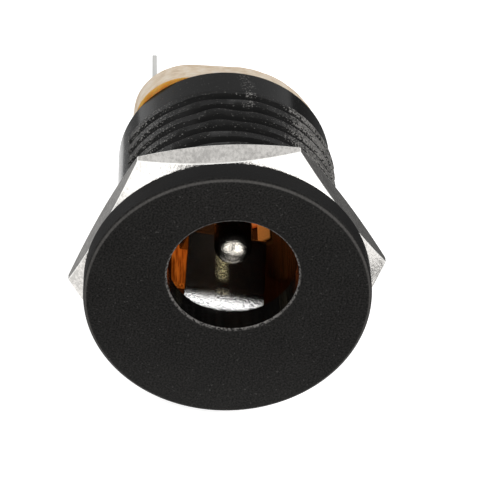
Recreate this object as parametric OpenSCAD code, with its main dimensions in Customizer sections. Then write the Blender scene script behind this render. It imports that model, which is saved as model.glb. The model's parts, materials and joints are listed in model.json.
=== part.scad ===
// Panel-mount dc barrel jack: one moulded housing with its hex nut, a board at the back
// that carries the contacts, a centre pin, a sleeve spring and the switch strip under it.
// Millimetres. The origin is on the barrel's axis in the plane where the flange meets the
// panel. +Y runs along the barrel to the back, +Z is up, and the plug comes in from -Y.

/* [Flange] */
// Diameter of the round front flange
flange_d = 14.5; // [13.5:0.1:18]
// Thickness of the flange, which is also the front wall
flange_t = 1.5; // [1:0.1:3]
// Radius rolled on the flange's front edge
flange_round = 0.25; // [0.1:0.05:0.5]
// Small bevel on the flange's back edge
flange_bevel = 0.1; // [0.05:0.05:0.3]

/* [Barrel] */
// Diameter over the crests of the thread
crest_d = 11.7; // [11.2:0.05:12.4]
// Height of the thread's crests over the plain core, seen at the end collar and on the lands
thread_depth = 0.23; // [0.15:0.01:0.35]
// Distance from one crest of the thread to the next
thread_pitch = 1; // [0.7:0.05:1.5]
// Part of the pitch that each groove takes up between two crests
groove_share = 0.46; // [0.3:0.01:0.7]
// Length of the barrel behind the flange
barrel_l = 11; // [9.5:0.1:16]
// Length of the plain collar at the barrel's end
collar_l = 2.2; // [0.6:0.1:3]
// Angle that each unthreaded land takes up, left and right
land_angle = 40; // [20:1:44]
// Bevel on the rim of the barrel's end
rim_bevel = 0.15; // [0.05:0.05:0.3]
// Thickness of the barrel's wall, from the cavity that holds the contacts to the plain core
barrel_wall = 0.87; // [0.8:0.01:0.95]

/* [Plug opening] */
// Diameter of the round opening in the front wall
plug_hole_d = 6.6; // [6:0.1:6.6]
// Gap between the top of the opening and the cavity's wall
plug_hole_rim = 0.03; // [0.02:0.01:0.1]
// Bevel on the opening's front edge
plug_bevel = 0.12; // [0.05:0.01:0.25]

/* [Hex nut] */
// Wall of the nut between the thread's crests and a flat; 1.15 makes a 14 mm hex
nut_wall = 1.15; // [0.9:0.05:3]
// Thickness of the nut
nut_t = 2; // [1.5:0.1:3]
// How far in from the flats the chamfer on the side that faces the flange starts
nut_ring_inset = 0.55; // [0.3:0.05:0.7]
// Slope of the chamfers on the nut's corners
nut_chamfer_angle = 30; // [15:1:35]
// Depth of the small chamfer on the nut's back edge, measured at the flats
nut_back_chamfer = 0.05; // [0.02:0.01:0.2]
// How far the nut is turned from having a flat on top
nut_turn = 14; // [0:1:60]

/* [Terminal plate] */
// How far the board rests on the barrel's end, all round the cavity
plate_rest = 0.4; // [0.3:0.05:0.5]
// Thickness of the board
plate_t = 1.3; // [0.8:0.1:2]
// How far the board sits off the axis, to the right
plate_shift = 0.1; // [0:0.01:0.12]
// Radius of the board's corner behind the pin's tag
plate_corner_r = 3; // [2:0.1:4]
// How far that corner reaches past the board's round rim
plate_corner_reach = 0.8; // [0.4:0.05:0.9]
// Direction of that corner, counted round from the right
plate_corner_angle = 140; // [120:1:160]

/* [Centre pin] */
// Diameter of the centre pin
pin_d = 2; // [1.6:0.05:2.1]
// Gap between the flange's back plane and the tip of the pin
pin_setback = 0.05; // [0.05:0.05:1]
// Diameter of the shoulder that seats on the board
pin_shoulder_d = 3.2; // [2.6:0.1:3.6]
// Thickness of that shoulder
pin_shoulder_t = 0.7; // [0.4:0.1:1.2]
// Diameter of the tail that passes through the board
pin_tail_d = 1.5; // [1.2:0.05:1.5]
// Diameter of the riveted head on the tail
pin_head_d = 2.4; // [2.2:0.1:2.6]
// Height of the riveted head
pin_head_h = 0.45; // [0.3:0.05:0.7]

/* [Contacts] */
// Thickness of the spring strip
spring_t = 0.3; // [0.2:0.02:0.34]
// Width of the sleeve spring
spring_w = 4.1; // [3.6:0.1:4.4]
// Drop from the centre pin's axis to the spring's crown, where it meets the plug
crown_drop = 2.67; // [2.5:0.01:2.72]
// Bend radius of the crown, on the strip's middle line
crown_r = 0.8; // [0.6:0.05:0.9]
// Gap between the flange's back plane and the spring's lip
lip_setback = 0.25; // [0.2:0.05:0.6]
// How far the lip turns down in front of the crown
lip_drop = 0.35; // [0.1:0.05:0.5]
// Height of the spring's root above the switch strip, between their middle lines
root_rise = 0.75; // [0.7:0.01:0.85]
// Length of the spring's level foot in front of the board
foot_l = 1.5; // [1:0.1:2.5]
// Thickness of the switch strip
switch_t = 0.2; // [0.15:0.01:0.24]
// Width of the switch strip
switch_w = 4.2; // [3.6:0.1:4.3]
// Distance from the cavity's lowest line up to the switch strip's middle line
switch_rise = 0.7; // [0.68:0.01:0.76]
// Distance from the flange's back plane to the switch strip's nose
nose_y = 2.9; // [2.7:0.1:3.4]
// Width of the narrow nose that rises to the spring
nose_w = 1.6; // [1:0.1:2.4]
// Distance over which the nose rises
nose_rise = 1.7; // [1.4:0.1:2]

/* [Solder tags] */
// Length of the tags behind the board
tag_l = 4.5; // [3:0.1:7]
// Width of the two lower tags
tag_w = 1.6; // [1.2:0.1:1.7]
// Gap between the two lower tags, seen from the back
tag_gap = 1; // [0.8:0.1:1.2]
// Diameter of the wire hole in each tag
wire_hole_d = 0.9; // [0.6:0.1:0.9]
// Thickness of the tag riveted on the pin
pin_tag_t = 0.25; // [0.2:0.05:0.4]
// Width of the pin's tag
pin_tag_w = 2.4; // [1.8:0.1:2.6]
// Distance from the pin's centre to the middle of that tag's blade
pin_tag_reach = 3.95; // [3:0.05:4.3]
// How far the blade sits above the middle of its arm
pin_tag_lift = 0.4; // [0:0.05:0.5]
// How far the arm droops from level
pin_tag_droop = 10.5; // [0:0.5:15]
// Diameter of the eye round the pin's tail
pin_eye_d = 3; // [2.6:0.1:3.2]

/* [Clearances] */
// Radial gap between the thread's crests and the nut
nut_gap = 0.05; // [0.02:0.01:0.1]
// Radial gap between the pin's tail and its holes
tail_gap = 0.03; // [0.01:0.01:0.06]
// Gap round a strip in its slot in the board
slot_gap = 0.05; // [0.02:0.01:0.1]
// Gap between the switch strip's nose and the spring at rest
switch_gap = 0.05; // [0.02:0.01:0.1]

/* [Hidden] */
$fn = 96;
eps = 0.01;

flange_r = flange_d / 2;
crest_r = crest_d / 2;
core_r = crest_r - thread_depth;
cavity_r = core_r - barrel_wall;
plug_hole_r = plug_hole_d / 2;
// the opening and the centre pin share an axis as high as the cavity allows
plug_z = cavity_r - plug_hole_r - plug_hole_rim;
thread_l = barrel_l - collar_l;
pin_r = pin_d / 2;

plate_y = barrel_l;
plate_back = plate_y + plate_t;
plate_r = cavity_r + plate_rest;
tag_end = plate_back + tag_l;
tag_x = (tag_gap + tag_w) / 2;

nut_bore_r = crest_r + nut_gap;
nut_flat_r = crest_r + nut_wall;
nut_corner_r = nut_flat_r / cos(30);
nut_ring_r = nut_flat_r - nut_ring_inset;
nut_lead = 0.3;

// the switch strip lies low in the cavity, with the spring's root above it
switch_z = -cavity_r + switch_rise;
root_z = switch_z + root_rise;

// the spring: a crown on a slope that runs down to the level foot
crown_z = plug_z - crown_drop;
half_t = spring_t / 2;
crown_y = lip_setback + half_t + crown_r;
crown_mid_z = crown_z - half_t - crown_r;
foot_y = plate_y - foot_l;
foot_bend_r = 1.2;
// direction of the slope: the line that is tangent to the crown's arc and the foot's arc
run = foot_y - crown_y;
fall = (root_z + foot_bend_r) - crown_mid_z;
slope = atan2(-fall, run) + asin((crown_r + foot_bend_r) / norm([run, fall]));

// the switch strip's nose lies just under the spring's slope
nose_top = crown_mid_z + (crown_r - half_t) / cos(slope)
    - (nose_y - crown_y) * tan(slope);
nose_r = 0.5;
nose_mid_z = nose_top - switch_gap - switch_t / 2 - nose_r / cos(slope);

black = [0.13, 0.13, 0.125];
nickel = [0.8, 0.79, 0.77];
tinned = [0.76, 0.75, 0.72];
phenolic = [0.82, 0.6, 0.32];

// points along an arc, from angle a0 to a1
function arc(cy, cz, r, a0, a1, n = 12) =
    [for (i = [0:n]) let (a = a0 + (a1 - a0) * i / n) [cy + r * cos(a), cz + r * sin(a)]];

// direction of a path at point i
function heading(p, i) =
    let (d = p[min(i + 1, len(p) - 1)] - p[max(i - 1, 0)]) d / norm(d);

// the path moved sideways by d
function beside(p, d) =
    [for (i = [0:len(p) - 1]) let (h = heading(p, i)) p[i] + d * [-h[1], h[0]]];

function reversed(p) = [for (i = [len(p) - 1:-1:0]) p[i]];

// section of a bent strip of thickness t along a path
module strip_section(path, t) {
    polygon(concat(beside(path, t / 2), reversed(beside(path, -t / 2))));
}

// a strip whose path is drawn in Y and Z, as wide as w along X
module bent_strip(path, t, w) {
    translate([-w / 2, 0, 0])
        rotate([90, 0, 90])
            linear_extrude(w)
                strip_section(path, t);
}

// a solid of revolution about the Y axis, from a profile of [radius, y]
module turned(profile) {
    rotate([-90, 0, 0])
        rotate_extrude()
            polygon(profile);
}

// a cylinder along +Y from y0 to y1, with its axis at x, z
module rod(r, y0, y1, x = 0, z = 0) {
    translate([x, y0, z])
        rotate([-90, 0, 0])
            cylinder(r = r, h = y1 - y0);
}

// ---- housing -------------------------------------------------------------

// flange, plain core and rim in one profile
module housing_blank() {
    turned(concat(
        [[0, -flange_t]],
        arc(flange_r - flange_round, -flange_t + flange_round, flange_round, -90, 0, 8),
        [[flange_r, -flange_bevel], [flange_r - flange_bevel, 0],
         [core_r, 0], [core_r, barrel_l - rim_bevel],
         [core_r - rim_bevel, barrel_l], [0, barrel_l]]));
}

// the thread's ribs as plain rings, in section: V grooves that reach a little into the core
function thread_profile() =
    let (inner_r = core_r - barrel_wall / 2,
         groove_w = thread_pitch * groove_share,
         groove_r = core_r - thread_depth / 3,
         grooves = floor((thread_l - nut_lead) / thread_pitch))
    concat([[inner_r, -flange_t / 2], [crest_r, -flange_t / 2]],
           [for (k = [grooves:-1:1], step = [0:2])
               [step == 1 ? groove_r : crest_r, thread_l - k * thread_pitch + step * groove_w / 2]],
           [[crest_r, thread_l], [inner_r, thread_l]]);

// the thread on one side: it stops short of the lands
module thread_sector() {
    rotate([-90, 0, 0])
        rotate([0, 0, land_angle / 2])
            rotate_extrude(angle = 180 - land_angle)
                polygon(thread_profile());
}

module housing() {
    color(black)
        difference() {
            union() {
                housing_blank();
                for (side = [0, 180])
                    rotate([0, side, 0])
                        thread_sector();
            }
            rod(cavity_r, 0, barrel_l + 1);
            rod(plug_hole_r, -flange_t - 1, 1, 0, plug_z);
            translate([0, -flange_t, plug_z])
                turned([[0, -1], [plug_hole_r + plug_bevel + 1, -1],
                        [plug_hole_r, plug_bevel], [0, plug_bevel]]);
        }
}

// ---- nut -----------------------------------------------------------------

// everything under a chamfer cone that opens along +Y from a flat ring of radius ring_r
module chamfer_envelope(ring_r) {
    spread = nut_corner_r;
    turned([[0, 0], [ring_r, 0], [ring_r + spread, spread * tan(nut_chamfer_angle)],
            [ring_r + spread, nut_t + spread], [0, nut_t + spread]]);
}

module hex_nut() {
    back_ring_r = nut_flat_r - nut_back_chamfer / tan(nut_chamfer_angle);
    color(nickel)
        difference() {
            intersection() {
                rotate([0, -nut_turn, 0])
                    rotate([-90, 0, 0])
                        cylinder(r = nut_corner_r, h = nut_t, $fn = 6);
                chamfer_envelope(nut_ring_r);
                translate([0, nut_t, 0])
                    mirror([0, 1, 0])
                        chamfer_envelope(back_ring_r);
            }
            rod(nut_bore_r, -1, nut_t + 1);
            for (end = [0, 1])
                translate([0, end * nut_t, 0])
                    mirror([0, end, 0])
                        turned([[0, -1], [nut_bore_r + nut_lead + 1, -1],
                                [nut_bore_r, nut_lead], [0, nut_lead]]);
        }
}

// ---- terminal plate ------------------------------------------------------

module tag_slot(x, z, t) {
    translate([x - tag_w / 2 - slot_gap, plate_y - 1, z - t / 2 - slot_gap])
        cube([tag_w + 2 * slot_gap, plate_t + 2, t + 2 * slot_gap]);
}

// the board's outline: a disc and a smaller circle near one corner, with a line drawn round both
function plate_outline() =
    let (corner_out = plate_r + plate_corner_reach - plate_corner_r,
         corner = corner_out * [cos(plate_corner_angle), sin(plate_corner_angle)])
    [for (a = [0:4:356])
        let (u = [cos(a), sin(a)])
        corner * u + plate_corner_r > plate_r ? corner + plate_corner_r * u : plate_r * u];

module terminal_plate() {
    color(phenolic)
        difference() {
            translate([plate_shift, plate_back, 0])
                rotate([90, 0, 0])
                    linear_extrude(plate_t)
                        polygon(plate_outline());
            rod(pin_tail_d / 2 + tail_gap, plate_y - 1, plate_back + 1, 0, plug_z);
            tag_slot(-tag_x, root_z, spring_t);
            tag_slot(tag_x, switch_z, switch_t);
        }
}

// ---- centre pin ----------------------------------------------------------

module centre_pin() {
    tail_end = plate_back + pin_tag_t;
    head_r = pin_head_d / 2;
    crown = (pow(head_r, 2) + pow(pin_head_h, 2)) / (2 * pin_head_h);
    spread = asin(head_r / crown);
    color(nickel)
        translate([0, 0, plug_z])
            turned(concat(
                arc(0, pin_setback + pin_r, pin_r, -90, 0, 16),
                [[pin_r, plate_y - pin_shoulder_t], [pin_shoulder_d / 2, plate_y - pin_shoulder_t],
                 [pin_shoulder_d / 2, plate_y], [pin_tail_d / 2, plate_y], [pin_tail_d / 2, tail_end]],
                arc(0, tail_end + pin_head_h - crown, crown, 90 - spread, 90, 8)));
}

// ---- tag riveted on the pin ----------------------------------------------

// the tag's own frame: arm along +X from the pin, blade along +Y
module pin_tag() {
    bend_r = 0.4;
    mid = plate_back + pin_tag_t / 2;
    blade_x = pin_tag_reach;
    low = pin_tag_lift - pin_tag_w / 2;
    high = pin_tag_lift + pin_tag_w / 2;
    eye_r = pin_eye_d / 2;
    path = concat([[blade_x - 1, mid]],
                  arc(blade_x - bend_r, mid + bend_r, bend_r, -90, 0, 6),
                  [[blade_x, tag_end]]);
    color(tinned)
        translate([0, 0, plug_z])
            rotate([0, 180 - pin_tag_droop, 0])
                mirror([0, 0, 1])
                    difference() {
                        union() {
                            rod(eye_r, plate_back, plate_back + pin_tag_t);
                            translate([0, plate_back + pin_tag_t, 0])
                                rotate([90, 0, 0])
                                    linear_extrude(pin_tag_t)
                                        polygon([[0, -eye_r * 0.8], [blade_x - 1, low], [blade_x - 0.7, low],
                                                 [blade_x - 0.7, high], [blade_x - 1, high], [0, eye_r * 0.8]]);
                            translate([0, 0, low])
                                linear_extrude(pin_tag_w)
                                    strip_section(path, pin_tag_t);
                        }
                        rod(pin_tail_d / 2 + tail_gap, plate_back - 1, plate_back + 1);
                        translate([blade_x - 1, tag_end - pin_tag_w / 2, pin_tag_lift])
                            rotate([0, 90, 0])
                                cylinder(d = wire_hole_d, h = 2);
                    }
}

// ---- contacts ------------------------------------------------------------

// plan of a strip: a wide body up to the board, then a narrow tag with a round end
module strip_plan(body_w, front_y, side) {
    tag_r = tag_w / 2;
    translate([-body_w / 2, front_y])
        square([body_w, plate_y - front_y]);
    translate([side * tag_x - tag_r, plate_y - eps])
        square([tag_w, tag_end - tag_r - plate_y + eps]);
    translate([side * tag_x, tag_end - tag_r])
        circle(r = tag_r);
}

module wire_hole(side, z) {
    translate([side * tag_x, tag_end - tag_w / 2, z - 1])
        cylinder(d = wire_hole_d, h = 2);
}

module sleeve_contact() {
    lip_z = crown_mid_z - lip_drop;
    path = concat(
        [[crown_y - crown_r, lip_z]],
        arc(crown_y, crown_mid_z, crown_r, 180, 90 - slope, 16),
        arc(foot_y, root_z + foot_bend_r, foot_bend_r, 270 - slope, 270, 8),
        [[tag_end, root_z]]);
    color(nickel)
        difference() {
            intersection() {
                bent_strip(path, spring_t, spring_w + 2);
                translate([0, 0, -6])
                    linear_extrude(6)
                        strip_plan(spring_w, 0, -1);
            }
            wire_hole(-1, root_z);
        }
}

module switch_contact() {
    ramp_y = nose_y + nose_rise;
    path = concat(
        [[nose_y - nose_r * 0.9, nose_mid_z - nose_r * 0.4]],
        arc(nose_y, nose_mid_z, nose_r, 150, 30, 8),
        [[ramp_y, switch_z], [tag_end, switch_z]]);
    color(tinned)
        difference() {
            intersection() {
                bent_strip(path, switch_t, switch_w + 2);
                translate([0, 0, -6])
                    linear_extrude(6) {
                        strip_plan(switch_w, ramp_y - 0.2, 1);
                        translate([-nose_w / 2, 0])
                            square([nose_w, ramp_y]);
                    }
            }
            wire_hole(1, switch_z);
        }
}

housing();
hex_nut();
terminal_plate();
centre_pin();
pin_tag();
sleeve_contact();
switch_contact();
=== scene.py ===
# %% [markdown]
# # A dc barrel jack, dressed for a studio render
# The solids come packed in one frame, in metres, with the origin on the barrel's axis where the
# flange meets the panel. +Y runs along the barrel to the back. The frame holds sizes and places,
# and this notebook gives every piece its finish, its rounded edges and the thread.

# %% Load the frame
import json
import math

import bmesh
import bpy
from mathutils import Matrix, Vector, noise

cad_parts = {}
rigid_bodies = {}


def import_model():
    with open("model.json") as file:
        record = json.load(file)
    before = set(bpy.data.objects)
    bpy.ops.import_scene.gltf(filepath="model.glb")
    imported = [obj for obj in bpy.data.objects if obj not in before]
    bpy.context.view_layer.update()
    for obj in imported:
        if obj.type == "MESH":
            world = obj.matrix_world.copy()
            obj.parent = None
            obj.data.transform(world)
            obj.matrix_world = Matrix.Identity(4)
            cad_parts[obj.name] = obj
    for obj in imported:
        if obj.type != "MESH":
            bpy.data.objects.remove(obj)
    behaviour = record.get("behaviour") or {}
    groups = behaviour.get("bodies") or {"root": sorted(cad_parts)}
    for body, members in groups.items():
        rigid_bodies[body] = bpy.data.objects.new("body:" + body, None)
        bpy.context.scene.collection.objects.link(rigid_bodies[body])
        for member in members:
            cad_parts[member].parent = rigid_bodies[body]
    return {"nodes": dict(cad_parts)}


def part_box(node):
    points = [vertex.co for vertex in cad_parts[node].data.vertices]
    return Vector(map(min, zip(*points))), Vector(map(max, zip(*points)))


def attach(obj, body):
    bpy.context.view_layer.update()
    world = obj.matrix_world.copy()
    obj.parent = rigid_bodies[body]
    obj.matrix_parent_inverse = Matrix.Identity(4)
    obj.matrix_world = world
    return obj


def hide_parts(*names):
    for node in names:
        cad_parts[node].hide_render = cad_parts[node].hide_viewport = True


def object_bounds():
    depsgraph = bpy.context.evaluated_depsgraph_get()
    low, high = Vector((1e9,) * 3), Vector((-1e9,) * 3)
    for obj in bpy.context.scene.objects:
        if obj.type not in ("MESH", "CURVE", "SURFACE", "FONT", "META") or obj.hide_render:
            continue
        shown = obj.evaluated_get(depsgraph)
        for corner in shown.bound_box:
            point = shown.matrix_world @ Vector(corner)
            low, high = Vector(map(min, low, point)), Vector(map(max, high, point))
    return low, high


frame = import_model()
cad_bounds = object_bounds()
MM = 0.001
scene = bpy.context.scene
scene.view_settings.view_transform = "Standard"
print("CAD nodes:", sorted(frame["nodes"]))

# %% [markdown]
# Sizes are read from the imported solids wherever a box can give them, so that the pieces made here
# follow the frame. The rest are the small forms that only a finished model needs.

# %% Sizes in millimetres
housing_low, housing_high = (Vector(c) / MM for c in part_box("housing"))
nut_low, nut_high = (Vector(c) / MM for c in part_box("hex_nut"))
plate_low, plate_high = (Vector(c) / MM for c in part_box("terminal_plate"))
pin_low, pin_high = (Vector(c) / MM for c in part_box("centre_pin"))
spring_low, spring_high = (Vector(c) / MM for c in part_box("sleeve_contact"))
switch_low, switch_high = (Vector(c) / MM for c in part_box("switch_contact"))

flange_r = housing_high.x
flange_front = housing_low.y
barrel_end = housing_high.y
core_r = 5.62  # the barrel between the thread's ridges
crest_r = 5.85  # the flat tops of the ridges
cavity_r = 4.75
collar_l = 2.2  # the plain end of the barrel, behind the thread
thread_end = barrel_end - collar_l
plug_hole_r = 3.3
plug_z = (pin_low.z + pin_high.z) / 2
print(f"flange radius {flange_r:.2f}, barrel end at {barrel_end:.2f}, plug axis {plug_z:.2f} mm up")

# %% [markdown]
# ## The camera
# A long lens from well back keeps the flange's ellipse and the barrel's taper gentle. The camera
# stands above and in front of the flange and is rolled a little, as if the jack had been laid
# down slightly turned. An aim point and a roll are easier to read than a matrix, so the rotation
# is made from those.

# %% Camera
LENS = 222.0
ROLL = math.radians(13.35)
camera_place = Vector((-19.10, -124.98, 89.25))
camera_aim = Vector((0.526, 1.489, 1.10))


def facing(place, aim):
    """Stands something at a place, in millimetres, with its -Z axis toward an aim."""
    turn = (Vector(aim) - Vector(place)).to_track_quat("-Z", "Y").to_matrix().to_4x4()
    return Matrix.Translation(Vector(place) * MM) @ turn


camera_data = bpy.data.cameras.new("camera")
camera_data.lens = LENS
camera_data.sensor_width = 36.0
camera_data.clip_start = 0.01
camera_data.clip_end = 10.0
camera = bpy.data.objects.new("camera", camera_data)
scene.collection.objects.link(camera)
camera.matrix_world = facing(camera_place, camera_aim) @ Matrix.Rotation(ROLL, 4, "Z")
scene.camera = camera
print("camera", round((camera_aim - camera_place).length), "mm from its aim")

# %% [markdown]
# ## Shader maths as plain sums
# Node trees are hard to read as code. One small class wraps a socket, so that an expression such
# as `1 - mask * 0.4` adds the Math nodes by itself. A second class holds a material and has the
# one method that makes every other node.


# %% Values that do sums
class Value:
    """A shader socket that can be added, subtracted and multiplied."""

    def __init__(self, finish, socket):
        self.finish = finish
        self.socket = socket

    def maths(self, operation, first, second=0.0):
        return self.finish.node("ShaderNodeMath", {"operation": operation}, {0: first, 1: second})

    def __add__(self, other):
        return self.maths("ADD", self, other)

    __radd__ = __add__

    def __sub__(self, other):
        return self.maths("SUBTRACT", self, other)

    def __rsub__(self, other):
        return self.maths("SUBTRACT", other, self)

    def __mul__(self, other):
        return self.maths("MULTIPLY", self, other)

    def __abs__(self):
        return self.maths("ABSOLUTE", self)


# %% A finish is a material with one node-making method
class Finish:
    """A Principled material whose changing values are written as sums."""

    def __init__(self, name, **constants):
        self.material = bpy.data.materials.new(name)
        self.material.use_nodes = True
        self.tree = self.material.node_tree
        self.shader = self.tree.nodes["Principled BSDF"]
        for socket, value in constants.items():
            self.set(socket.replace("_", " "), value)

    def feed(self, socket, value):
        if isinstance(value, Value):
            self.tree.links.new(value.socket, socket)
        elif isinstance(value, (tuple, list)) and socket.type == "RGBA":
            socket.default_value = (*value[:3], 1.0)
        else:
            socket.default_value = value

    def set(self, name, value):
        self.feed(self.shader.inputs[name], value)

    def node(self, kind, settings, inputs, output=0):
        """Makes a node, applies its settings, feeds its inputs and gives one output."""
        made = self.tree.nodes.new(kind)
        for name, value in settings.items():
            if name == "stops":
                ramp = made.color_ramp
                while len(ramp.elements) < len(value):
                    ramp.elements.new(0.5)
                for element, (place, colour) in zip(ramp.elements, value):
                    element.position = place
                    element.color = (*colour, 1.0)
            else:
                setattr(made, name, value)
        for name, value in inputs.items():
            self.feed(made.inputs[name], value)
        return Value(self, made.outputs[output])

    def place(self, stretch=(1, 1, 1), shift=(0, 0, 0)):
        """Object coordinates in millimetres, stretched along the axes and shifted."""
        spot = self.node("ShaderNodeTexCoord", {}, {}, "Object")
        scale = tuple(s / MM for s in stretch)
        inputs = {"Vector": spot, "Scale": scale, "Location": shift}
        return self.node("ShaderNodeMapping", {}, inputs)

    def along(self, axis):
        """How far a point lies along one axis, in millimetres."""
        return self.node("ShaderNodeSeparateXYZ", {}, {"Vector": self.place()}, axis)

    def from_axis(self, height=0.0):
        """Distance in millimetres from a line along Y at a height above the barrel's axis."""
        flat = self.place((1, 0, 1), (0, 0, -height))
        return self.node("ShaderNodeVectorMath", {"operation": "LENGTH"}, {0: flat}, "Value")

    def step(self, value, low, high):
        """0 below low, 1 above high, and soft between them."""
        settings = {"interpolation_type": "SMOOTHSTEP"}
        inputs = {"Value": value, "From Min": low, "From Max": high}
        return self.node("ShaderNodeMapRange", settings, inputs)

    def band(self, value, start, full, fade, end):
        """1 between full and fade, 0 outside start and end, and soft between them."""
        return self.step(value, start, full) * (1 - self.step(value, fade, end))

    def noise(self, size, detail=2.0, roughness=0.5, stretch=(1, 1, 1)):
        """Soft noise from 0 to 1 whose blobs are about size mm across."""
        inputs = {"Scale": 1 / size, "Detail": detail, "Roughness": roughness}
        return self.node("ShaderNodeTexNoise", {}, {"Vector": self.place(stretch), **inputs})

    def ramp(self, value, *stops):
        """A colour for a value, between stops of (value, colour)."""
        return self.node("ShaderNodeValToRGB", {"stops": stops}, {"Fac": value})

    def mix(self, mask, first, second):
        """The first colour where the mask is 0, the second where it is 1."""
        return self.node("ShaderNodeMix", {"data_type": "RGBA"}, {0: mask, 6: first, 7: second}, 2)

    def bump(self, height, depth):
        """Feeds the normal from a height of 0 to 1 that stands for depth millimetres."""
        inputs = {"Height": height, "Distance": depth * MM, "Strength": 1.0}
        self.set("Normal", self.node("ShaderNodeBump", {}, inputs))


# %% [markdown]
# ## Moulded black plastic
# The housing comes out of a spark-eroded mould, so its outside is a fine matt and its bore, which
# a polished core makes, is smooth. A matt black is never one grey: the grain catches light as
# tiny specks, painted into the colour as pale glints, and handling leaves it slightly cloudy.
# Noise at two sizes drives the colour and the roughness, and the finest one gives the grain's
# height. A lighter line painted on the front edge and on the opening's bevel stands for their
# highlights, and the rim behind the face is painted darker as shade.

# %% Black finish of the flange
black = Finish("flange_black", Specular_IOR_Level=0.12)
cloud = black.noise(1.6, 3.0)
grain = black.noise(0.10, 2.0, 0.6)
# Pale specks painted into the colour stand for glints of light on the grain.
grain_glints = black.step(black.noise(0.16, 1.0), 0.70, 0.78)
depth = black.along("Y")
front = 1 - black.step(depth, flange_front + 0.14, flange_front + 0.3)
reach = black.from_axis()
# A painted highlight: a lighter line on the face's rounded outer edge.
painted_edge_highlight = front * black.band(
    reach, flange_r - 0.2, flange_r - 0.12, flange_r - 0.09, flange_r - 0.03)
# A painted highlight: a lighter ring on the opening's bevel.
on_lip = 1 - black.step(black.from_axis(plug_z), plug_hole_r + 0.04, plug_hole_r + 0.13)
painted_lip_highlight = on_lip * black.step(grain, 0.35, 0.65)
matt = black.ramp(cloud * 0.12 + grain * 0.88,
                  (0.36, (0.0012, 0.0011, 0.0010)), (0.64, (0.0190, 0.0182, 0.0170)))
matt = black.mix(grain_glints * 0.5, matt, (0.07, 0.068, 0.065))
# Painted shade: the rim behind the face gets a darker colour than the face.
sides = black.mix(front, (0.0035, 0.0032, 0.0032), matt)
# The painted edge highlight, and below it the painted lip highlight, are mixed into the colour.
worn = black.mix(painted_edge_highlight * (0.3 + grain), sides, (0.08, 0.076, 0.072))
black.set("Base Color", black.mix(painted_lip_highlight * front, worn, (0.22, 0.21, 0.20)))
black.set("Roughness", 0.54 + cloud * 0.08)
black.bump(grain, 0.012)

# %% [markdown]
# The barrel's outside is glossier than the face. Its plain collar carries a few pale chips, most
# of them along the line where the two halves of the mould met. The bore's fine lines run along
# it, since the core was pulled out that way.

# %% Black finishes of the barrel and the bore
barrel_black = Finish("barrel_black", Specular_IOR_Level=0.11)
draw = barrel_black.noise(0.5, 2.0, 0.5, (1, 0.2, 1))
chips = barrel_black.noise(0.09, 2.0, 0.6)
wander = barrel_black.noise(0.9, 2.0)
seam = 1 - barrel_black.step(abs(barrel_black.along("X") + wander * 1.6 - 1.0), 0.05, 0.5)
chips = barrel_black.step(chips + seam * 0.13, 0.66, 0.80)
gloss, chipped = (0.0028, 0.0027, 0.0026), (0.11, 0.107, 0.10)
barrel_black.set("Base Color", barrel_black.mix(chips, gloss, chipped))
barrel_black.set("Roughness", 0.10 + draw * 0.10 + chips * 0.3)
barrel_black.bump(draw * 0.3 + chips * 0.7, 0.02)

bore_black = Finish("bore_black", Specular_IOR_Level=0.36)
draw = bore_black.noise(0.22, 2.0, 0.5, (1, 0.04, 1))
bore_black.set("Base Color", bore_black.ramp(
    draw, (0.3, (0.003, 0.0028, 0.0025)), (0.7, (0.007, 0.0065, 0.006))))
bore_black.set("Roughness", 0.10 + draw * 0.16)
bore_black.bump(draw, 0.02)

# %% [markdown]
# The thread's crests are where the mould sheds its parting film, so the plastic there is speckled
# with pale points along one rough line near the top. More pale points are painted on the barrel's
# flanks as glints of light on the crests.

# %% Speckled black of the thread
thread_black = Finish("thread_black", Specular_IOR_Level=0.10)
speck = thread_black.noise(0.085, 2.0, 0.6)
patch = thread_black.noise(1.1, 2.0)
side = thread_black.along("X")
# Painted highlight: extra pale points on the barrel's flanks stand for glints on the crests.
glint_flanks = thread_black.step(side, 1.4, 3.4) * 1.35 + thread_black.step(side * -1, 2.8, 4.8) * 0.7
seam = 1 - thread_black.step(abs(side - 0.1 + patch * 1.6 - 0.8), 0.05, 0.4)
seam = seam * thread_black.step(thread_black.along("Y"), 5.6, 8.2) * 0.8
crest = thread_black.step(thread_black.from_axis(), core_r + 0.08, crest_r - 0.04)
spread = glint_flanks * (0.4 + patch * 0.8) + seam * 0.9
specks_and_glints = thread_black.step(speck + spread * 0.18, 0.65, 0.72) * crest
crest_tone = thread_black.ramp(
    patch, (0.35, (0.0020, 0.0019, 0.0018)), (0.7, (0.0080, 0.0077, 0.0073)))
# Painted shade: the roots between the ridges are darker than the crests.
shade = thread_black.mix(crest, (0.0015, 0.0015, 0.0014), crest_tone)
thread_black.set("Base Color", thread_black.mix(specks_and_glints, shade, (0.27, 0.262, 0.25)))
thread_black.set("Roughness", 0.30 + specks_and_glints * 0.4)
thread_black.bump(speck * (0.15 + spread * 0.8), 0.05)

# %% [markdown]
# ## Plated metals
# Nickel is a warm grey metal. What sells it is not its colour but how its roughness changes: a
# barrel-plated nut has fine tumbling marks, and drawn strip has lines along its length. Both go
# into the roughness and a very shallow bump.

# %% Metal finishes
TIN = (0.66, 0.66, 0.64)


def plated(name, colour, rough, rough_range, mark_size, mark_depth, stretch=(1, 1, 1),
           darkest=0.88):
    """A plated metal, with marks of a size and depth in mm and a dullest share of its colour."""
    finish = Finish(name, Metallic=1.0)
    marks = finish.noise(mark_size, 3.0, 0.6, stretch)
    haze = finish.noise(1.5, 2.0)
    dull = tuple(c * darkest for c in colour)
    bright = finish.step(haze * 0.4 + marks * 0.6, 0.36, 0.6)
    finish.set("Base Color", finish.mix(bright, dull, colour))
    finish.set("Roughness", rough + marks * rough_range + haze * 0.04)
    finish.bump(marks, mark_depth)
    return finish


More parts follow.
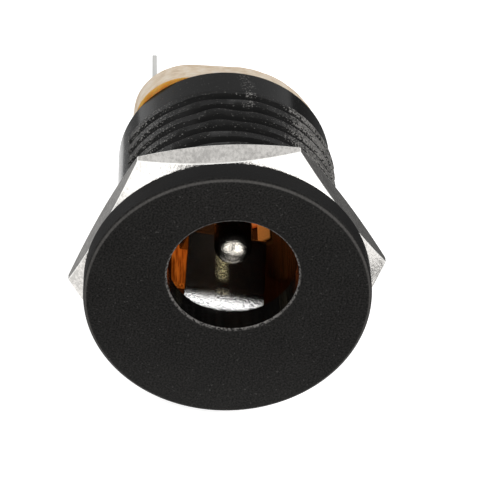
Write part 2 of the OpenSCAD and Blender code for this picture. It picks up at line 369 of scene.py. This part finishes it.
nut_nickel = plated("nut_plating", (0.68, 0.66, 0.63), 0.08, 0.12, 0.14, 0.012, (1, 0.45, 1), 0.66)
# Painted highlight: the nut's bevelled edges get this lighter, rougher nickel.
nut_edge_highlight = plated("nut_edge_highlight", (0.92, 0.91, 0.88), 0.42, 0.16, 0.14, 0.012)
pin_nickel = plated("pin_nickel", (0.74, 0.69, 0.61), 0.06, 0.10, 0.09, 0.020, darkest=0.6)
tag_tin = plated("tinned", TIN, 0.24, 0.16, 0.12, 0.004, (1, 0.1, 1))

# %% [markdown]
# A yellow column along the spring, with a patch on the lip in front of it, is painted as the
# pin's reflection in the bright nickel, and specks along the column glow as a painted glint. Away
# from the lip, deeper in the barrel, the plating is painted dark as shade.

# %% Spring with a painted reflection and painted shade
PIN_REFLECTION_X = 0.3
spring_nickel = Finish("spring_nickel", Metallic=1.0)
marks = spring_nickel.noise(0.09, 3.0, 0.6)
depth = spring_nickel.along("Y")
where = abs(spring_nickel.along("X") - PIN_REFLECTION_X + marks * 0.5)
# A painted reflection of the pin: a yellow column along the spring and a patch on its lip.
reflection_column = (1 - spring_nickel.step(where, 0.08, 0.42)) * spring_nickel.band(depth, 1.5, 2.3, 3.4, 5.4)
reflection_spot = (1 - spring_nickel.step(where, 0.15, 0.5)) * spring_nickel.band(
    depth, 0.55, 0.75, 0.9, 1.3)
painted_pin_reflection = reflection_column + reflection_spot * 0.7
plating = spring_nickel.mix(
    spring_nickel.step(marks, 0.36, 0.56), (0.42, 0.42, 0.42), (0.84, 0.83, 0.82))
reflection_colour = spring_nickel.mix(
    spring_nickel.step(marks, 0.42, 0.56), (0.16, 0.12, 0.05), (0.95, 0.84, 0.52))
# Painted shade: behind the lip, deeper in the barrel, the plating is darkened.
painted_cavity_shade = spring_nickel.step(depth, 0.9, 1.6) * 0.6
plating = spring_nickel.mix(painted_cavity_shade, plating, (0.10, 0.10, 0.09))
spring_nickel.set("Base Color", spring_nickel.mix(painted_pin_reflection, plating, reflection_colour))
spring_nickel.set("Roughness", 0.06 + marks * 0.16 + painted_pin_reflection * 0.5)
# A painted glint: specks along the reflected column glow.
glint = reflection_column * spring_nickel.step(marks, 0.46, 0.62)
spring_nickel.set("Emission Color", spring_nickel.mix(glint, (0, 0, 0), (0.60, 0.52, 0.28)))
spring_nickel.set("Emission Strength", 0.7)
spring_nickel.bump(marks, 0.04)

# %% [markdown]
# The switch strip is phosphor bronze. Only its tag, behind the board, is dipped in tin, so one
# material holds both colours and changes over where the strip enters the board. The bare part
# takes in the orange light that the board lets through, and a weak glow stands for that.

# %% Bronze strip with a tinned tag
bronze = Finish("strip_bronze", Metallic=1.0)
lines = bronze.noise(0.10, 3.0, 0.6, (1, 0.05, 1))
dipped = bronze.step(bronze.along("Y"), barrel_end, barrel_end + 0.3)
bare = bronze.ramp(lines, (0.35, (0.55, 0.16, 0.03)), (0.65, (0.90, 0.36, 0.08)))
bronze.set("Base Color", bronze.mix(dipped, bare, TIN))
bronze.set("Roughness", 0.30 + lines * 0.14)
glow = bronze.ramp(lines, (0.4, (0.12, 0.022, 0.002)), (0.6, (0.50, 0.12, 0.012)))
bronze.set("Emission Color", bronze.mix(dipped, glow, (0, 0, 0)))
bronze.set("Emission Strength", 0.6)
bronze.bump(lines, 0.008)

# %% [markdown]
# ## Paper-phenolic board
# The board is brown-orange resin on its faces and pale torn paper on its cut edge. It is thin
# enough that light from behind glows through it, so its faces scatter light inside. In the barrel
# its colour is painted dark as shade, except low down, where a painted glow stands for the little
# light that still comes through. The edge has streaks of fibre that run round it.

# %% Board finishes
board_face = Finish("board_face", Subsurface_Weight=1.0, Subsurface_Scale=0.003,
                    Subsurface_Radius=(1.0, 0.6, 0.3), Roughness=0.3)
fibre = board_face.noise(0.5, 4.0, 0.6, (1, 1, 0.3))
resin = board_face.ramp(fibre, (0.3, (0.62, 0.27, 0.045)), (0.7, (0.80, 0.40, 0.09)))
in_barrel = 1 - board_face.step(board_face.from_axis(), cavity_r - 0.2, cavity_r)
at_back = board_face.step(board_face.along("Y"), plate_low.y + 0.1, plate_low.y + 0.2)
covered = in_barrel * (1 - at_back)
low_down = 1 - board_face.step(board_face.along("Z"), -3.6, -1.9)
unlit, lit_through = (0.004, 0.0015, 0.0005), (0.75, 0.27, 0.06)
# Painted shade: the board's face inside the barrel is dark, except low down.
board_face.set("Base Color", board_face.mix(covered * (1 - low_down), resin, unlit))
# A painted glow low down stands for light that comes through the board.
board_face.set("Emission Color", board_face.mix(covered * low_down, (0, 0, 0), lit_through))
board_face.set("Emission Strength", 0.30)
board_face.bump(fibre, 0.01)

board_edge = Finish("board_edge", Roughness=0.75)
layers = board_edge.noise(0.16, 3.0, 0.6, (0.35, 1.6, 0.35))
blotch = board_edge.noise(0.7, 2.0)
board_edge.set("Base Color", board_edge.ramp(
    layers * 0.5 + blotch * 0.5,
    (0.32, (0.64, 0.49, 0.33)), (0.5, (0.82, 0.68, 0.52)), (0.68, (0.92, 0.84, 0.73))))
board_edge.bump(layers, 0.04)

# %% [markdown]
# ## Helpers for the pieces
# Most of this jack was turned, punched or bent, so a few helpers cover it: a lathe that spins a
# profile round the barrel's direction, a cut that takes one piece away from another, a plain
# cylinder, and a turn that stands a piece up.


# %% Making and finishing pieces
OVERSHOOT = 1  # how far a cutting shape stands past what it cuts
WELD = 0.0005


def new_piece(name, bm, finishes, body, node=None, sharp=32):
    """Turns a bmesh drawn in millimetres into a finished piece on its body."""
    bmesh.ops.remove_doubles(bm, verts=bm.verts, dist=WELD)
    bmesh.ops.recalc_face_normals(bm, faces=bm.faces)
    bmesh.ops.scale(bm, vec=(MM, MM, MM), verts=bm.verts)
    mesh = bpy.data.meshes.new(name)
    bm.to_mesh(mesh)
    bm.free()
    for finish in finishes:
        mesh.materials.append(finish.material)
    piece = bpy.data.objects.new(name, mesh)
    scene.collection.objects.link(piece)
    mesh.shade_smooth()
    mesh.set_sharp_from_angle(angle=math.radians(sharp))
    if body:
        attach(piece, body)
    if node:
        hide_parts(node)
    return piece


def lathe(profile, steps=192, centre=(0, 0, 0)):
    """Spins a profile of (radius, y) points round an axis along Y."""
    bm = bmesh.new()
    points = [bm.verts.new((centre[0] + r, centre[1] + y, centre[2])) for r, y in profile]
    edges = [bm.edges.new(pair) for pair in zip(points, points[1:])]
    bmesh.ops.spin(bm, geom=points + edges, cent=centre, axis=(0, 1, 0), dvec=(0, 0, 0),
                   angle=2 * math.pi, steps=steps, use_merge=True, use_duplicate=False)
    bmesh.ops.remove_doubles(bm, verts=bm.verts, dist=WELD)
    bmesh.ops.recalc_face_normals(bm, faces=bm.faces)
    return bm


def cylinder(bm, radius, depth, segments):
    """A closed cylinder or prism round the Z axis. Gives its vertices."""
    made = bmesh.ops.create_cone(bm, cap_ends=True, segments=segments, radius1=radius,
                                 radius2=radius, depth=depth)
    return made["verts"]


def turn(bm, verts, angle, axis):
    """Turns vertices round one of the frame's axes."""
    matrix = Matrix.Rotation(angle, 3, axis)
    bmesh.ops.rotate(bm, verts=verts, cent=(0, 0, 0), matrix=matrix)


def arc(cx, cy, r, start, stop, steps):
    """Points along an arc, with angles in degrees."""
    angles = [math.radians(start + (stop - start) * i / steps) for i in range(steps + 1)]
    return [(cx + r * math.cos(a), cy + r * math.sin(a)) for a in angles]


def combine(bm, other, operation="DIFFERENCE"):
    """Takes the second bmesh away from the first, or keeps only what they share."""
    made = []
    for part in (bm, other):
        bmesh.ops.recalc_face_normals(part, faces=part.faces)
        mesh = bpy.data.meshes.new("work")
        part.to_mesh(mesh)
        part.free()
        made.append(bpy.data.objects.new("work", mesh))
        scene.collection.objects.link(made[-1])
    keep, tool = made
    boolean = keep.modifiers.new("work", "BOOLEAN")
    boolean.operation = operation
    boolean.object = tool
    boolean.solver = "EXACT"
    evaluated = keep.evaluated_get(bpy.context.evaluated_depsgraph_get())
    result = bmesh.new()
    result.from_mesh(evaluated.to_mesh())
    for work in made:
        data = work.data
        bpy.data.objects.remove(work)
        bpy.data.meshes.remove(data)
    return result


def soften(piece, width, angle=35, edge_material=-1):
    """Rounds the edges of a piece that are sharper than angle degrees, by width mm."""
    bevel = piece.modifiers.new("soft edges", "BEVEL")
    bevel.width = width * MM
    bevel.segments = 2
    bevel.limit_method = "ANGLE"
    bevel.angle_limit = math.radians(angle)
    bevel.harden_normals = True
    bevel.material = edge_material


# %% [markdown]
# ## The housing
# The real one is a single moulding: flange, front wall and barrel. It could be joined from
# cylinders, but one turned profile gives the rolled front edge, the rim's bevel and the hollow at
# once. Only the plug opening sits off the axis, so it is cut afterwards with a second turned
# shape that carries the opening's small bevel.

# %% Turn the housing and cut the opening
FLANGE_ROUND = 0.25
FLANGE_BEVEL = 0.1
RIM_BEVEL = 0.15
PLUG_BEVEL = 0.12
FACE, BORE, BARREL = range(3)

outline = [(0, flange_front)]
outline += arc(flange_r - FLANGE_ROUND, flange_front + FLANGE_ROUND, FLANGE_ROUND, -90, 0, 6)
outline += [(flange_r, -FLANGE_BEVEL), (flange_r - FLANGE_BEVEL, 0), (core_r, 0)]
outline += [(core_r, barrel_end - RIM_BEVEL), (core_r - RIM_BEVEL, barrel_end)]
outline += [(cavity_r, barrel_end), (cavity_r, 0), (0, 0)]
cutter = [(0, flange_front - OVERSHOOT),
          (plug_hole_r + PLUG_BEVEL + OVERSHOOT, flange_front - OVERSHOOT),
          (plug_hole_r, flange_front + PLUG_BEVEL), (plug_hole_r, OVERSHOOT), (0, OVERSHOOT)]
housing_mesh = combine(lathe(outline, steps=256),
                       lathe(cutter, steps=160, centre=(0, 0, plug_z)))
for face in housing_mesh.faces:
    middle = face.calc_center_median()
    reach = math.hypot(middle.x, middle.z)
    inside = middle.y > flange_front + PLUG_BEVEL and reach < cavity_r + 0.01
    face.material_index = BORE if inside else BARREL if middle.y > 0.01 else FACE
print("housing faces:", len(housing_mesh.faces))
new_piece("housing_moulding", housing_mesh, [black, bore_black, barrel_black], "jack",
          "housing")

# %% [markdown]
# ## The thread
# The thread is a separate set of ridges on the plain core. A helix could be one long sweep, but
# this barrel has a smooth land on either side where the mould parts, so each turn is two short
# ridges. One ridge is a flat-topped section spun through an arc that also climbs along the
# barrel, and a loop places the copies half a pitch and half a turn apart. On top, near the mould's
# seam, the ridges are the least even. Noise bends them along the barrel there and takes a little
# off their height.

# %% Ridges of the thread
PITCH = 1.0
LAND = math.radians(40)
RIDGE_STEPS = 56
CREST_HALF = 0.27
ROOT_HALF = 0.47
SINK = 0.12
THREAD_START = 0.02
WORN_X = -1.0
WORN_HALF = 3.4
WORN_BEND = 0.5
WORN_LOSS = 0.010
sweep = math.pi - LAND


def ridge(bm, start_angle, middle_y):
    """One broken turn: a closed ridge whose section climbs as it goes round."""
    flank_points = [(core_r - SINK, ROOT_HALF), (core_r, ROOT_HALF),
                    (crest_r - 0.03, CREST_HALF + 0.02), (crest_r, CREST_HALF - 0.04)]
    section = [(r, -y) for r, y in flank_points] + flank_points[::-1]
    points = [bm.verts.new((r, middle_y + y, 0)) for r, y in section]
    turn(bm, points, start_angle, "Y")
    edges = [bm.edges.new(pair) for pair in zip(points, points[1:] + points[:1])]
    climb = PITCH * sweep / (2 * math.pi) / RIDGE_STEPS
    made = bmesh.ops.spin(bm, geom=points + edges, cent=(0, 0, 0), axis=(0, 1, 0),
                          dvec=(0, climb, 0), angle=sweep, steps=RIDGE_STEPS,
                          use_merge=False, use_duplicate=False)
    last = [v for v in made["geom_last"] if isinstance(v, bmesh.types.BMVert)]
    bm.faces.new(points)
    bmesh.ops.contextual_create(bm, geom=last)


thread_mesh = bmesh.new()
half_turns = math.ceil(2 * thread_end / PITCH) + 2
for half in range(-1, half_turns):
    start = math.pi * half + LAND / 2
    ridge(thread_mesh, start, half * PITCH / 2 + LAND / (2 * math.pi) * PITCH / 2)
for cut_y, outward in ((THREAD_START, -1), (thread_end, 1)):
    everything = thread_mesh.verts[:] + thread_mesh.edges[:] + thread_mesh.faces[:]
    cut = bmesh.ops.bisect_plane(thread_mesh, geom=everything, plane_co=(0, cut_y, 0),
                                 plane_no=(0, outward, 0), clear_outer=True)
    rim = [e for e in cut["geom_cut"] if isinstance(e, bmesh.types.BMEdge)]
    bmesh.ops.holes_fill(thread_mesh, edges=rim)
for vert in thread_mesh.verts:
    worn = max(0, 1 - abs(vert.co.x - WORN_X) / WORN_HALF) if vert.co.z > 0 else 0
    worn *= max(0, min(1, vert.co.y - THREAD_START, thread_end - vert.co.y))
    vert.co.y += noise.noise(vert.co * 0.6) * WORN_BEND * worn
    if math.hypot(vert.co.x, vert.co.z) > core_r + 0.1:
        vert.co.x *= 1 - WORN_LOSS * worn
        vert.co.z *= 1 - WORN_LOSS * worn
print("thread faces:", len(thread_mesh.faces))
new_piece("barrel_thread", thread_mesh, [thread_black], "jack", sharp=25)

# %% [markdown]
# ## The hex nut
# A nut is a hexagon whose corners were turned off by a 30 degree chamfer, which leaves the curved
# lens on every flat. Cutting the hexagon with a turned envelope gives those curves exactly as the
# real tool does, and a narrow bevel lets the plated edges catch the light. The bevel also gets a
# lighter nickel, which paints highlight lines on the edges.

# %% Nut
NUT_FLAT_R = 7.0
NUT_CORNER = NUT_FLAT_R / math.cos(math.radians(30))
NUT_TURN = math.radians(14)
NUT_THICK = nut_high.y - nut_low.y
RING_R = 6.45
BACK_RING_R = 6.91
CHAMFER = math.tan(math.radians(30))
BORE_R = crest_r + 0.05
BORE_LEAD = 0.3
EDGE = 1  # the second of the nut's two finishes

hexagon = bmesh.new()
cylinder(hexagon, NUT_CORNER, NUT_THICK, segments=6)
turn(hexagon, hexagon.verts, math.radians(30), "Z")
turn(hexagon, hexagon.verts, math.radians(-90), "X")
turn(hexagon, hexagon.verts, -NUT_TURN, "Y")
bmesh.ops.translate(hexagon, verts=hexagon.verts, vec=(0, nut_low.y + NUT_THICK / 2, 0))
reach = NUT_CORNER + 0.1
envelope = lathe([(0, nut_low.y), (RING_R, nut_low.y),
                  (reach, nut_low.y + (reach - RING_R) * CHAMFER),
                  (reach, nut_high.y - (reach - BACK_RING_R) * CHAMFER),
                  (BACK_RING_R, nut_high.y), (0, nut_high.y)])
nut_mesh = combine(hexagon, envelope, "INTERSECT")
mouth_r = BORE_R + BORE_LEAD + OVERSHOOT
bore = lathe([(0, nut_low.y - OVERSHOOT), (mouth_r, nut_low.y - OVERSHOOT),
              (BORE_R, nut_low.y + BORE_LEAD), (BORE_R, nut_high.y - BORE_LEAD),
              (mouth_r, nut_high.y + OVERSHOOT), (0, nut_high.y + OVERSHOOT)])
nut_mesh = combine(nut_mesh, bore)
nut = new_piece("nut_plated", nut_mesh, [nut_nickel, nut_edge_highlight], "nut", "hex_nut", 20)
soften(nut, 0.07, angle=24, edge_material=EDGE)
print("nut corners reach", round(NUT_CORNER, 2), "mm")

# %% [markdown]
# ## The board at the back
# The board is punched from paper-phenolic sheet. Its outline is a disc with one rounded corner
# behind the pin's tag. Two short cylinders inside one convex hull give that outline without any
# drawing by hand. The punched edge is slightly ragged, so its rim is then nudged by noise.

# %% Board
RAGGED = 0.05
RAGGED_WAVES = ((0.8, 0.5), (2.3, 0.3), (6, 0.2))
BOARD_ROUND = 0.09
FLAT_ENOUGH = math.radians(0.4)
RESIN, CUT = range(2)
PLATE_R = 5.15
PLATE_X = 0.1
CORNER_R = 3.0
CORNER_OUT = PLATE_R + 0.8 - CORNER_R
CORNER_ANGLE = math.radians(140)
board_t = plate_high.y - plate_low.y
board_mid = (plate_high.y + plate_low.y) / 2


def short_cylinder(bm, radius, x, z, steps):
    verts = cylinder(bm, radius, board_t, steps)
    turn(bm, verts, math.pi / 2, "X")
    bmesh.ops.translate(bm, verts=verts, vec=(x, board_mid, z))


board_mesh = bmesh.new()
short_cylinder(board_mesh, PLATE_R, PLATE_X, 0, 180)
short_cylinder(board_mesh, CORNER_R, PLATE_X + CORNER_OUT * math.cos(CORNER_ANGLE),
               CORNER_OUT * math.sin(CORNER_ANGLE), 120)
hull = bmesh.ops.convex_hull(board_mesh, input=board_mesh.verts[:], use_existing_faces=False)
inside = [v for v in hull["geom_interior"] if isinstance(v, bmesh.types.BMVert)]
bmesh.ops.delete(board_mesh, geom=inside, context="VERTS")
bmesh.ops.dissolve_limit(board_mesh, angle_limit=FLAT_ENOUGH, verts=board_mesh.verts[:],
                         edges=board_mesh.edges[:])
print("board faces before cutting:", len(board_mesh.faces))
rims = [e for e in board_mesh.edges if abs(e.verts[0].co.y - e.verts[1].co.y) < 1e-4]
bmesh.ops.bevel(board_mesh, geom=rims, offset=BOARD_ROUND, offset_type="OFFSET", segments=2,
                profile=0.5, affect="EDGES", material=-1)
sides = [e for e in board_mesh.edges if abs(e.verts[0].co.y - e.verts[1].co.y) > 0.5]
bmesh.ops.subdivide_edges(board_mesh, edges=sides, cuts=5, use_grid_fill=True)
for vert in board_mesh.verts:
    out = Vector((vert.co.x, 0, vert.co.z))
    wave = sum(noise.noise(vert.co * often) * share for often, share in RAGGED_WAVES)
    vert.co += out.normalized() * min(wave * 2, 0) * RAGGED
for face in board_mesh.faces:
    middle = face.calc_center_median()
    rim = abs(face.normal.y) < 0.9 and middle.y > plate_low.y + 0.03
    face.material_index = CUT if rim else RESIN
new_piece("terminal_board", board_mesh, [board_face, board_edge], "jack",
          "terminal_plate", 40)

# %% [markdown]
# A small key on the board's front face sits in the barrel's wall and stops the board from turning.
# It is seen through the opening, low down at the right.

# %% Board key
KEY_ANGLE = math.radians(-51.5)
KEY_SIZE = (0.35, 1.6, 0.66)
key_r = cavity_r - 0.12
key_mesh = bmesh.new()
bmesh.ops.create_cube(key_mesh, size=1.0)
bmesh.ops.scale(key_mesh, vec=KEY_SIZE, verts=key_mesh.verts)
turn(key_mesh, key_mesh.verts, -KEY_ANGLE, "Y")
key_place = (key_r * math.cos(KEY_ANGLE), plate_low.y - KEY_SIZE[1] / 2,
             key_r * math.sin(KEY_ANGLE))
bmesh.ops.translate(key_mesh, verts=key_mesh.verts, vec=key_place)
key = new_piece("board_key", key_mesh, [board_face], "jack")
soften(key, 0.06)

# %% [markdown]
# ## The centre pin
# A screw machine turned the pin in one go: ball nose, shaft, a shoulder that seats on the board
# and a tail that is riveted over behind the tag.

# %% Pin
PIN_X = 0.05
PIN_R = 0.96
TAIL_R = 0.75
HEAD_R = 1.2
HEAD_H = 0.45

pin_nose = pin_low.y + 0.2
shoulder_r = (pin_high.x - pin_low.x) / 2
shoulder_y = plate_low.y - 0.7
tail_end = pin_high.y - HEAD_H
dome_r = (HEAD_R ** 2 + HEAD_H ** 2) / (2 * HEAD_H)
dome_half = math.degrees(math.asin(HEAD_R / dome_r))
pin_outline = arc(0, pin_nose + PIN_R, PIN_R, -90, 0, 24)
pin_outline += [(PIN_R, shoulder_y), (shoulder_r, shoulder_y), (shoulder_r, plate_low.y)]
pin_outline += [(TAIL_R, plate_low.y), (TAIL_R, tail_end)]
pin_outline += arc(0, tail_end + HEAD_H - dome_r, dome_r, 90 - dome_half, 90, 8)
pin_mesh = lathe(pin_outline, steps=96, centre=(PIN_X, 0, plug_z))
new_piece("contact_pin", pin_mesh, [pin_nickel], "jack", "centre_pin", 40)

# %% [markdown]
# ## Bent strips
# The spring, the switch strip and the tags are punched from sheet and bent. A strip is made the
# way a press does it: an edge as wide as the strip is extruded from point to point along the
# bend's path, then the ribbon gets its thickness and its edges are softened. Both strips end in
# a narrow tag with a round end and a hole, behind the board.


# %% A strip that follows a path
TAG_X = 1.3
TAG_HALF = 0.8
TAG_HOLE_R = 0.45
tag_end = spring_high.y
neck_y = plate_low.y - 0.01  # where a strip narrows to its tag


def bent_ribbon(stations, thickness):
    """stations are (y, z, left x, right x); the ribbon is the strip's middle surface."""
    bm = bmesh.new()
    y, z, left, right = stations[0]
    front = bm.edges.new((bm.verts.new((left, y, z)), bm.verts.new((right, y, z))))
    for y, z, left, right in stations[1:]:
        made = bmesh.ops.extrude_edge_only(bm, edges=[front])["geom"]
        ends = [v for v in made if isinstance(v, bmesh.types.BMVert)]
        ends.sort(key=lambda v: v.co.x)
        ends[0].co = (left, y, z)
        ends[1].co = (right, y, z)
        front = next(e for e in made
                     if isinstance(e, bmesh.types.BMEdge) and set(e.verts) == set(ends))
    bmesh.ops.recalc_face_normals(bm, faces=bm.faces)
    bmesh.ops.solidify(bm, geom=bm.faces[:], thickness=thickness)
    bmesh.ops.recalc_face_normals(bm, faces=bm.faces)
    return bm


def tag_stations(centre_x, z):
    """The narrow tail behind the board, with a round end."""
    stations = [(plate_low.y, z, centre_x - TAG_HALF, centre_x + TAG_HALF)]
    for step in range(9):
        a = math.radians(90 * step / 8)
        half = max(TAG_HALF * math.cos(a), 0.02)
        y = tag_end - TAG_HALF + TAG_HALF * math.sin(a)
        stations.append((y, z, centre_x - half, centre_x + half))
    return stations


def strip(name, stations, thickness, tag_x, tag_z, finish, node, edge_round):
    """Bends a strip, brings its tag to tag_z, drills the tag and softens the edges."""
    bm = bent_ribbon(stations + tag_stations(tag_x, tag_z), thickness)
    tail = [v.co.z for v in bm.verts if v.co.y > plate_high.y]
    bmesh.ops.translate(bm, verts=bm.verts, vec=(0, 0, tag_z - sum(tail) / len(tail)))
    hole = bmesh.new()
    cylinder(hole, TAG_HOLE_R, depth=3, segments=40)
    bmesh.ops.translate(hole, verts=hole.verts, vec=(tag_x, tag_end - TAG_HALF, tag_z))
    piece = new_piece(name, combine(bm, hole), [finish], "jack", node, 40)
    soften(piece, edge_round, angle=40)


# %% [markdown]
# The sleeve spring is a broad strip under the pin. Its front end curls down into a bright lip. A
# flat table runs back from there, folds down steeply and levels out at the height of its tag. The
# strip sits turned a little, so it drifts to +X along the table and comes back behind the fold.

# %% Sleeve spring
SPRING_T = 0.3
SPRING_HALF = 2.05
LIP_R = 0.62
FOLD = 60  # degrees
FOLD_Y = 5.55
FOLD_R = 0.6
DRIFT_START = 0.08
DRIFT_RATE = 0.052
DRIFT_MOST = 0.39
DRIFT_TURN = 6
DRIFT_END = 9.5

lip_y = spring_low.y + SPRING_T / 2 + LIP_R
lip_z = spring_high.z - SPRING_T / 2 - LIP_R
root_z = spring_low.z + SPRING_T / 2
table_z = lip_z + LIP_R
fold = math.radians(FOLD)
drop = table_z - root_z - 2 * FOLD_R * (1 - math.cos(fold))
foot_y = FOLD_Y + 2 * FOLD_R * math.sin(fold) + drop / math.tan(fold)
path = [(lip_y - LIP_R, lip_z - 0.35)] + arc(lip_y, lip_z, LIP_R, 180, 90, 24)
path += arc(FOLD_Y, table_z - FOLD_R, FOLD_R, 90, 90 - FOLD, 10)
path += arc(foot_y, root_z + FOLD_R, FOLD_R, 270 - FOLD, 270, 10) + [(neck_y, root_z)]
spring_stations = []
for y, z in path:
    if y < DRIFT_TURN:
        drift = DRIFT_START + DRIFT_RATE * y
    else:
        drift = max(0, DRIFT_MOST * (DRIFT_END - y) / (DRIFT_END - DRIFT_TURN))
    spring_stations.append((y, z, drift - SPRING_HALF, drift + SPRING_HALF))
strip("sleeve_spring", spring_stations, SPRING_T, -TAG_X, root_z, spring_nickel,
      "sleeve_contact", 0.04)
print("spring folds down at", FOLD_Y, "and levels out at", round(foot_y, 2), "mm")

# %% [markdown]
# The switch strip lies under the spring. Its narrow nose is humped toward the spring, and behind
# the nose it is as broad as its solid.

# %% Switch strip
SWITCH_T = 0.2
NOSE_Y = 2.9
NOSE_R = 0.5
NOSE_HALF = 0.8

switch_z = switch_low.z + SWITCH_T / 2
nose_z = switch_high.z - SWITCH_T / 2 - NOSE_R
ramp_y = NOSE_Y + 1.7
narrow = (-NOSE_HALF, NOSE_HALF)
broad = (switch_low.x, switch_high.x)
nose_path = [(NOSE_Y - NOSE_R * 0.9, nose_z - NOSE_R * 0.4)]
nose_path += arc(NOSE_Y, nose_z, NOSE_R, 150, 30, 10) + [(ramp_y - 0.2, switch_z + 0.25)]
switch_stations = [(y, z, *narrow) for y, z in nose_path]
switch_stations += [(ramp_y - 0.19, switch_z + 0.24, *broad), (ramp_y, switch_z, *broad),
                    (neck_y, switch_z, *broad)]
strip("switch_strip", switch_stations, SWITCH_T, TAG_X, switch_z, bronze,
      "switch_contact", 0.03)

# %% [markdown]
# ## The stage
# A white floor under the lowest corner carries the jack's shadow. To the camera, and to anything
# shiny, the floor and the surroundings are plain white, while the light that falls on the jack
# stays at a level where a colour looks as it was written. The Light Path node tells the two apart.

# %% Floor and surroundings
SHOWN_WHITE = 0.75
SKY_LIGHT = 0.5
SHOWN_RAYS = ("Is Camera Ray", "Is Glossy Ray", "Is Transmission Ray")
ground = cad_bounds[0][2] / MM

white = Finish("floor_white", Roughness=0.9, Specular_IOR_Level=0.0, Base_Color=(0.8, 0.8, 0.8))
seen, shiny, through = (
    white.node("ShaderNodeLightPath", {}, {}, ray) for ray in SHOWN_RAYS)
white.set("Emission Color", (1, 1, 1))
white.set("Emission Strength", (seen + shiny + through) * SHOWN_WHITE)
floor_mesh = bmesh.new()
bmesh.ops.create_grid(floor_mesh, x_segments=1, y_segments=1, size=900)
bmesh.ops.translate(floor_mesh, verts=floor_mesh.verts, vec=(0, 0, ground))
floor = new_piece("floor", floor_mesh, [white], None)

world = bpy.data.worlds.new("studio")
scene.world = world
world.use_nodes = True
sky = world.node_tree
background = sky.nodes["Background"]
background.inputs["Color"].default_value = (1, 1, 1, 1)
rays = sky.nodes.new("ShaderNodeLightPath")
strength = background.inputs["Strength"]
# A chain of sums: SKY_LIGHT for every ray, and the rest up to full white for the shown kinds.
for ray in SHOWN_RAYS[::-1]:
    add = sky.nodes.new("ShaderNodeMath")
    add.operation = "MULTIPLY_ADD"
    add.inputs[1].default_value = 1 - SKY_LIGHT
    add.inputs[2].default_value = SKY_LIGHT
    sky.links.new(rays.outputs[ray], add.inputs[0])
    sky.links.new(add.outputs[0], strength)
    strength = add.inputs[2]

# %% [markdown]
# Two tall softboxes stand left and right of the camera, so that every bright curve carries a
# pair of highlights. A third lamp behind lights the board's back, which then glows through.
# Bright metal in a white studio would lose its facets, so grey cards stand where the metal looks.
# Two are to the nut's right, one is to its left, one is behind and above its top flat, and one
# lies on the floor before the flange. The sixth hangs behind the camera, where it keeps the pin's
# two highlights apart. Only reflections see the cards.


# %% Lamps and cards
LAMP_AIM = (0, 3, 0)
floor_card_z = ground + 0.05


def softbox(name, place, size, radiance, in_reflections=True, tall=1.0):
    """A lamp, aimed at the jack, whose strength is given as the radiance of its face."""
    lamp = bpy.data.lights.new(name, "AREA")
    lamp.shape = "RECTANGLE"
    lamp.size = size * MM
    lamp.size_y = size * tall * MM
    lamp.energy = radiance * math.pi * lamp.size * lamp.size_y
    made = bpy.data.objects.new(name, lamp)
    scene.collection.objects.link(made)
    made.visible_glossy = in_reflections
    made.matrix_world = facing(place, LAMP_AIM)


def card(name, place, aim, size, shade, tall=1.0):
    """A grey card that only reflections see."""
    paper = Finish(name, Roughness=1.0, Specular_IOR_Level=0.0, Base_Color=(0, 0, 0))
    paper.set("Emission Color", (shade, shade, shade))
    paper.set("Emission Strength", 1.0)
    bm = bmesh.new()
    bmesh.ops.create_grid(bm, x_segments=1, y_segments=1, size=size / 2)
    bmesh.ops.scale(bm, vec=(1, tall, 1), verts=bm.verts)
    toward = (Vector(aim) - Vector(place)).to_track_quat("Z", "Y").to_matrix()
    bmesh.ops.rotate(bm, verts=bm.verts, cent=(0, 0, 0), matrix=toward)
    bmesh.ops.translate(bm, verts=bm.verts, vec=place)
    made = new_piece(name, bm, [paper], None)
    for ray in ("camera", "diffuse", "shadow", "transmission", "volume_scatter"):
        setattr(made, "visible_" + ray, False)


softbox("key_left", (-188, -168, 130), 220, 1.25, tall=1.25)
softbox("key_right", (127, -219, 130), 220, 1.75, tall=1.25)
softbox("back", (40, 240, 60), 200, 1.6, in_reflections=False)
card("card_right", (38, 34, 0), (6, 1, 0), 66, 0.14, tall=0.4)
card("card_right_low", (40, 30, floor_card_z), (40, 30, 10), 64, 0.14)
card("card_left", (-29.5, 24, floor_card_z), (-29.5, 24, 10), 40, 0.36)
card("card_top", (-4, 66, 46), (0, 1, 7), 80, 0.92)
card("card_front", (-4, -15, floor_card_z), (-4, -15, 10), 64, 0.05, tall=0.28)
card("card_middle", (-46, -300, 110), (0, 0, 110), 110, 0.04, tall=3.2)

# %% [markdown]
# ## The last piece
# The pin's tag is a flat punched shape that its solid already shows, so the solid stays and only
# takes the tinned finish.

# %% Finish of the tag that stays a solid
for kept in bpy.data.objects:
    if kept.type == "MESH" and kept.name.split(".")[0].endswith("pin_tag"):
        for slot in kept.material_slots:
            slot.material = tag_tin.material
        print("tinned", kept.name)
